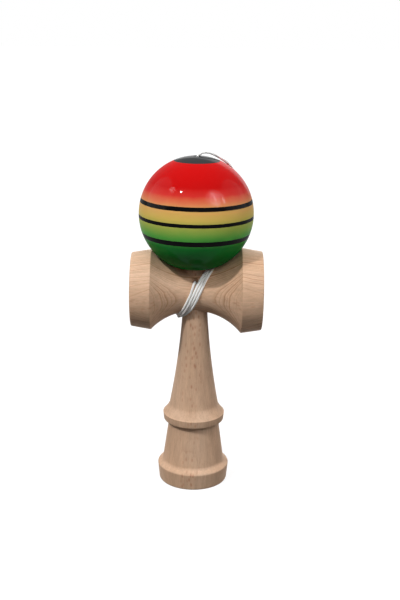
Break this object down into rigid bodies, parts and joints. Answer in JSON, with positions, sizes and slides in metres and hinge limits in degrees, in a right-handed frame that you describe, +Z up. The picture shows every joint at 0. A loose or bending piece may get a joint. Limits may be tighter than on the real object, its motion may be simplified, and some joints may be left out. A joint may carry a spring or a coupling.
{
  "type": "cup and ball toy",
  "caption": "Wooden cup and ball toy: a turned handle with a spike, a cross-piece with cups, and a striped lacquered ball on a wound string.",
  "frame": {"origin": "centre of the handle's foot, on the surface the toy stands on", "axes": "+Z up along the handle to the ball, +X towards the big cup, -Y towards the viewer"},
  "size_m": [0.0694, 0.06, 0.182],
  "materials": {
    "beech": "fine sanded, unlacquered",
    "lacquered_ball": "gloss lacquer over painted stripes",
    "bead_wood": "smooth",
    "string": "braided, white"
  },
  "bodies": {
    "handle": {"handle": "beech", "cross_piece": "beech", "anchor_knot": "string", "string_winding": "string"},
    "bead": {"bead": "bead_wood", "bead_knot": "string", "string_lead": "string"},
    "ball": {"ball": "lacquered_ball"}
  },
  "joints": [
    {"name": "ball_lift", "type": "slide", "parent": "handle", "child": "bead", "axis": [0, 0, 1], "range_m": [0, 0.05], "deforming": ["string_lead"]},
    {"name": "ball_spin", "type": "hinge", "parent": "bead", "child": "ball", "pos_m": [0, 0, 0.14985], "axis": [0, 0, 1], "continuous": true}
  ]
}
